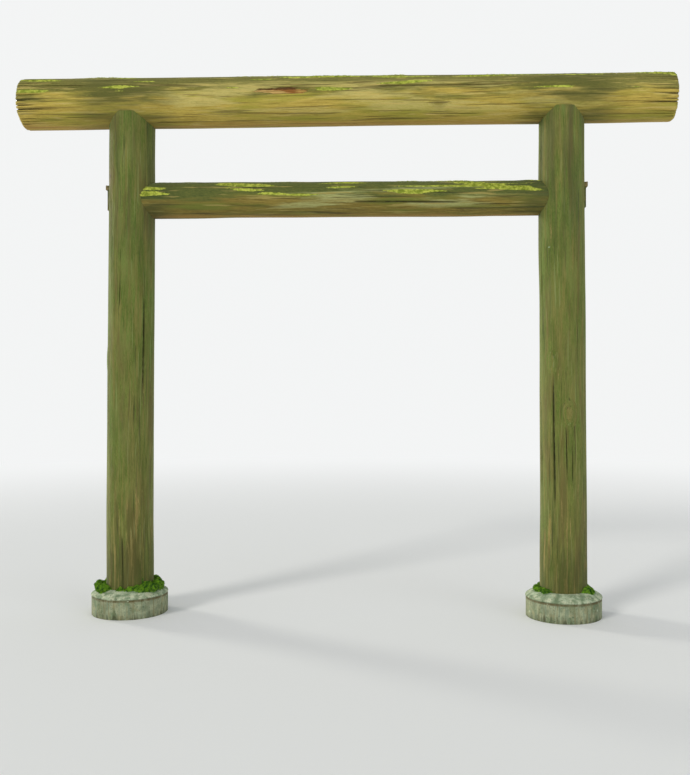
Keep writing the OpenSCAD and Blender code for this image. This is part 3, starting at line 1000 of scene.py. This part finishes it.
def place_of_pillar(side):
    """From a pillar's own frame, which points outwards along X, to the gate's."""
    turn = Matrix.Rotation(0 if side == RIGHT else math.pi, 4, "Z")
    lean = Matrix.Rotation(-side * LEAN, 4, "Y")
    return Matrix.Translation((side * PILLAR_X, 0, 0)) @ lean @ turn


def build_pillar(label, side, seed, split_turn, split_height, split_half, moss_foot):
    place = place_of_pillar(side) @ Matrix.Translation((0, 0, FLOOR_Z))
    piece = build_log(f"{label}_pillar_log", place, {
        **THICK_MESH, "Seed": seed, "Material": pillar_wood,
        "Length": LINTEL_Z - FLOOR_Z, "Root Radius": pillar_r(FLOOR_Z), "Tip Radius": HEAD_R,
        "Head Scribe": lintel_r(side * PILLAR_X) + SEAM, "Saddle": SADDLE_DEPTH,
        "Foot Slope": -math.tan(LEAN), "Head Slope": -math.tan(LEAN),
        "Calm Low": TIE_Z - FLOOR_Z, "Calm High": 0.05, "Calm Reach": 0.5,
        "Split Turn": split_turn, "Split Height": split_height, "Split Half": split_half,
        "Moss Foot": moss_foot}, "Cut", [tie_mortise(side)], TENON_T + 2 * SEAM)
    return seated(piece, "pillar_log", f"{label}_pillar")


# In a pillar's own frame the front lies at a turn of minus a quarter for the right one
# and plus a quarter for the left one
build_pillar("left", LEFT, seed=1.0, split_turn=math.pi / 2 + 0.85, split_height=1.45, split_half=0.26,
             moss_foot=0.7)
build_pillar("right", RIGHT, seed=2.0, split_turn=-math.pi / 2 - 0.6, split_height=0.9, split_half=0.34,
             moss_foot=0.55)


# Beams

def place_of_beam(z):
    """From a log's own frame, with its length up, to a level log along X."""
    return Matrix.Translation((0, 0, z)) @ Matrix.Rotation(math.pi / 2, 4, "Y")


def build_tie_beam():
    half = pillar_x(TIE_Z)
    place = place_of_beam(TIE_Z) @ Matrix.Translation((0, 0, -half))
    scribe = pillar_r(TIE_Z) + SEAM
    piece = build_log("tie_beam_log", place, {
        **TIE_MESH, "Seed": 5.0, "Material": tie_wood,
        "Length": 2 * half, "Root Radius": TIE_ROOT_R, "Tip Radius": TIE_TIP_R,
        "Foot Scribe": scribe, "Head Scribe": scribe,
        "Foot Slope": -math.tan(LEAN), "Head Slope": math.tan(LEAN),
        "Calm Low": 0.12, "Calm High": 2 * half - 0.12, "Calm Reach": 0.4,
        "Split Turn": -math.pi / 2 + 0.35, "Split Height": 1.5, "Split Half": 0.3, "Split Depth": 0.008,
        "Check Share": 0.04, "Check Depth": 0.005, "Moss Above": 0.85, "Moss Across": 3.0},
        "Add", [tie_tenon(LEFT), tie_tenon(RIGHT)], TENON_T)
    return seated(piece, "tie_log", "tie_beam")


def peg_hole(side):
    """Outline in X and Z of the hole that a lintel peg is driven into."""
    half = PEG / 2 + SEAM
    corners = ((-1, -1), (1, -1), (1, 1), (-1, 1))
    return [(side * PEG_MIDDLE.x + a * half, PEG_MIDDLE.z + b * half) for a, b in corners]


def build_lintel():
    place = place_of_beam(LINTEL_Z) @ Matrix.Translation((0, 0, -LINTEL_LENGTH / 2))
    piece = build_log("top_lintel_log", place, {
        **THICK_MESH, "Seed": 9.0, "Material": lintel_wood,
        "Length": LINTEL_LENGTH, "Root Radius": LINTEL_ROOT_R, "Tip Radius": LINTEL_TIP_R,
        "Bevel": LINTEL_BEVEL, "End Checks": 1.0,
        "Calm Low": LINTEL_LENGTH / 2 - PILLAR_X, "Calm High": LINTEL_LENGTH / 2 + PILLAR_X,
        "Calm Reach": 0.45, "Split Turn": -math.pi / 2 - 0.4, "Split Height": 2.2, "Split Half": 0.4,
        "Scar Turn": -math.pi / 2 - 0.22, "Scar Height": 1.38,
        "Check Share": 0.022, "Check Depth": 0.006, "Moss Above": 0.8},
        "Cut", [peg_hole(LEFT), peg_hole(RIGHT)], PEG_HOLE_LENGTH, PEG_MIDDLE.y + PEG_HOLE_SHIFT)
    return seated(piece, "lintel_log", "top_lintel")


tie_log = build_tie_beam()
lintel_log = build_lintel()


# Wedges and pegs

WORN_EDGE = 0.0012
# Longer edges of their meshes are divided, so that the skin can move
LONGEST_EDGE = 0.012
# A wedge is this much thinner than the tenon that it lies on
WEDGE_THINNER = 0.001
# Faces are put in order along this direction, which slants so that mirrored ones don't tie
SLANT = Vector((1.0, 0.37, 0.113))


def dressed(mesh_name, outline, thickness, centre_x, seed):
    """A split piece: a prism with worn edges and an uneven skin."""
    bm = bmesh.new()
    bm.from_mesh(slab(mesh_name, [outline], thickness))
    bmesh.ops.bevel(bm, geom=bm.edges[:], offset=WORN_EDGE, segments=2, affect="EDGES")
    bmesh.ops.triangulate(bm, faces=[f for f in bm.faces if len(f.verts) > 4])
    long_edges = [edge for edge in bm.edges if edge.calc_length() > LONGEST_EDGE]
    bmesh.ops.subdivide_edges(bm, edges=long_edges, cuts=5, use_grid_fill=True)
    # Dividing the edges leaves the faces in another order each run
    bm.faces.sort(key=lambda face: face.calc_center_median().dot(SLANT))
    piece = new_piece(mesh_name, finished_mesh(bm, mesh_name))
    return grown(piece, rough_skin, {
        "Seed": seed, "Centre": (centre_x, 0.0, 0.0), "Swell": 0.0004, "Marks": 0.0003, "Grit": 0.0002,
        "Material": riven_wood})


def build_wedge(label, side, seed):
    floor = TIE_Z + TENON_H / 2
    outline = mirrored([(OUTER_FACE - WEDGE_REACH, floor), (OUTER_FACE + WEDGE_PROUD, floor),
                        (OUTER_FACE + WEDGE_PROUD, floor + wedge_t(-WEDGE_PROUD)),
                        (OUTER_FACE - WEDGE_REACH, floor + WEDGE_TIP)], side)
    piece = dressed(f"{label}_wedge", outline, TENON_T - WEDGE_THINNER, side * OUTER_FACE, seed)
    return seated(piece, "riven_wood", f"{label}_tie_wedge")


def build_peg(label, seed):
    low, high = (Vector(corner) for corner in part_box(f"{label}_lintel_peg"))
    middle = (low + high) / 2
    outline = [(-PEG / 2, -PEG / 2), (PEG / 2, -PEG / 2), (PEG / 2, PEG / 2), (-PEG / 2, PEG / 2)]
    piece = dressed(f"{label}_peg", outline, high.y - low.y, 0.0, seed)
    piece.data.transform(Matrix.Translation(middle))
    return seated(piece, "riven_wood", f"{label}_lintel_peg")


# Footings

# Columns of the turned meshes, and the longest step between points of their outlines
DRUM_COLUMNS, DRUM_STEP = 200, 0.006
COLLAR_COLUMNS, COLLAR_STEP = 220, 0.0045


def build_drum(label, side, seed):
    wall = [(DRUM_R, DRUM_TOP), (SOCKET_R, DRUM_TOP), (SOCKET_R, FLOOR_Z), (0.0, FLOOR_Z),
            (0.0, 0.0), (DRUM_R, 0.0)]
    outline = resampled(wall, DRUM_STEP)
    piece = new_piece(f"{label}_drum", lathe(f"{label}_drum", outline, DRUM_COLUMNS, side * PILLAR_X))
    return seated(grown(piece, rough_skin, {
        "Seed": seed, "Centre": (side * PILLAR_X, 0.0, 0.0), "Swell": 0.0012, "Marks": 0.0007,
        "Grit": 0.0003, "Floor": 0.0, "Material": concrete}), "concrete", f"{label}_footing_drum")


def build_collar(label, side, seed, moss, cushion):
    bore = pillar_r(COLLAR_TOP) + SEAM
    nose = [(RIM_R - COLLAR_NOSE * (1 - math.cos(turn)), DRUM_TOP + COLLAR_NOSE * (1 + math.sin(turn)))
            for turn in (-1.5, -0.8, 0.0, 0.8)]
    crest = [(RIM_R + (bore + COLLAR_CROWN - RIM_R) * share,
              DRUM_TOP + COLLAR_LIP + (COLLAR_TOP - DRUM_TOP - COLLAR_LIP) * share
              + COLLAR_DOME * math.sin(math.pi * share))
             for share in (0.08, 0.16, 0.3, 0.45, 0.6, 0.75, 0.9, 1.0)]
    loop = nose + crest + [(bore, COLLAR_TOP), (bore, FLOOR_Z), (SOCKET_R - SEAM, FLOOR_Z),
                           (SOCKET_R - SEAM, DRUM_TOP)]
    outline = resampled(loop, COLLAR_STEP)
    piece = new_piece(f"{label}_collar", lathe(f"{label}_collar", outline, COLLAR_COLUMNS, side * PILLAR_X))
    return seated(grown(piece, rough_skin, {
        "Seed": seed, "Centre": (side * PILLAR_X, 0.0, 0.0), "Swell": 0.0018, "Marks": 0.0002,
        "Grit": 0.0005, "Moss": moss, "Moss From": FOOT_R, "Moss To": RIM_R + 0.01,
        "Cushion": cushion, "Material": mortar}), "mortar", f"{label}_mortar_collar")


def build_moss(name, host, slot, density, size, seed, material):
    """Tufts over the mossy parts of a finished piece."""
    piece = new_piece(name, host.data.copy())
    grown(piece, tufts, {"Density": density, "Size": size, "Seed": seed, "Material": material})
    return seated(piece, slot)


# The spread of the moss on each footing, and the height of its cushions
FOOT_MOSS = {"left": (1.6, 0.036), "right": (0.95, 0.024)}
for label, side in SIDES.items():
    build_wedge(label, side, 3.0 + side)
    build_peg(label, 6.0 + side)
    build_drum(label, side, 10.0 + side)
    collar = build_collar(label, side, 20.0 + side, *FOOT_MOSS[label])
    build_moss(f"{label}_footing_moss", collar, "mortar", 220000.0, 0.007, 31 + side, cushion_moss)
build_moss("tie_beam_moss", tie_log, "tie_log", 90000.0, 0.0038, 35, cap_moss)
build_moss("lintel_moss", lintel_log, "lintel_log", 80000.0, 0.0038, 36, cap_moss)


# Stage

BACKGROUND = (0.90, 0.91, 0.91, 1.0)


def seen_directly(g):
    """One where the camera sees a surface or its mirror image, and nothing for other light."""
    light = g.node("ShaderNodeLightPath").outputs
    return g.math("MAXIMUM", light["Is Camera Ray"], light["Is Glossy Ray"])


def build_floor():
    """A wide pale floor that fades into the background far from the gate."""
    bm = bmesh.new()
    bmesh.ops.create_circle(bm, cap_ends=True, radius=60.0, segments=64)
    floor = new_piece("floor", finished_mesh(bm, "floor"))
    material, g, shader = new_material("floor")
    shader.inputs["Base Color"].default_value = (0.80, 0.80, 0.79, 1.0)
    shader.inputs["Roughness"].default_value = 0.9
    place = object_place(g)
    far = g.times(g.fade(g.vector("LENGTH", place), 3.0, 11.0), seen_directly(g))
    glow = g.node("ShaderNodeEmission", {"Color": BACKGROUND, "Strength": 1.0})
    blended = g.node("ShaderNodeMixShader", {0: far, 1: shader.outputs[0], 2: glow.outputs[0]})
    g.put(g.tree.nodes["Material Output"].inputs["Surface"], blended.outputs[0])
    floor.data.materials.append(material)


def build_world():
    world = bpy.data.worlds.new("studio")
    world.use_nodes = True
    bpy.context.scene.world = world
    g = Graph(world.node_tree)
    soft = g.node("ShaderNodeBackground", {"Color": (0.93, 0.97, 1.0, 1.0), "Strength": 0.54})
    shown = g.node("ShaderNodeBackground", {"Color": BACKGROUND, "Strength": 1.0})
    blended = g.node("ShaderNodeMixShader", {0: seen_directly(g), 1: soft.outputs[0], 2: shown.outputs[0]})
    g.put(g.tree.nodes["World Output"].inputs["Surface"], blended.outputs[0])


def far_lamp(name, place, target, spread, power, color):
    data = bpy.data.lights.new(name, "SUN")
    data.angle = math.radians(spread)
    data.energy = power
    data.color = color
    lamp = bpy.data.objects.new(name, data)
    lamp.location = place
    lamp.rotation_euler = (Vector(target) - Vector(place)).to_track_quat("-Z", "Y").to_euler()
    bpy.context.scene.collection.objects.link(lamp)


def build_camera():
    """Close to where the photograph was taken from, level, with the whole gate in view."""
    data = bpy.data.cameras.new("camera")
    data.lens = 42.0
    data.sensor_width = 36.0
    data.shift_x = -0.0445
    camera = bpy.data.objects.new("camera", data)
    camera.location = (0.36, -4.8, 1.2)
    camera.rotation_euler = (math.pi / 2, 0, math.radians(2.1))
    bpy.context.scene.collection.objects.link(camera)
    bpy.context.scene.camera = camera


build_floor()
build_world()
far_lamp("key", (-3.6, -4.2, 4.2), (0, 0, 1.3), 16.0, 1.35, (1.0, 0.98, 0.93))
far_lamp("fill", (4.2, -3.6, 2.4), (0, 0, 1.4), 40.0, 0.7, (0.97, 0.99, 1.0))
far_lamp("rim", (-4.0, 2.4, 2.3), (0, 0, 1.4), 12.0, 1.7, (1.0, 1.0, 0.90))
build_camera()
bpy.context.scene.view_settings.view_transform = "Standard"
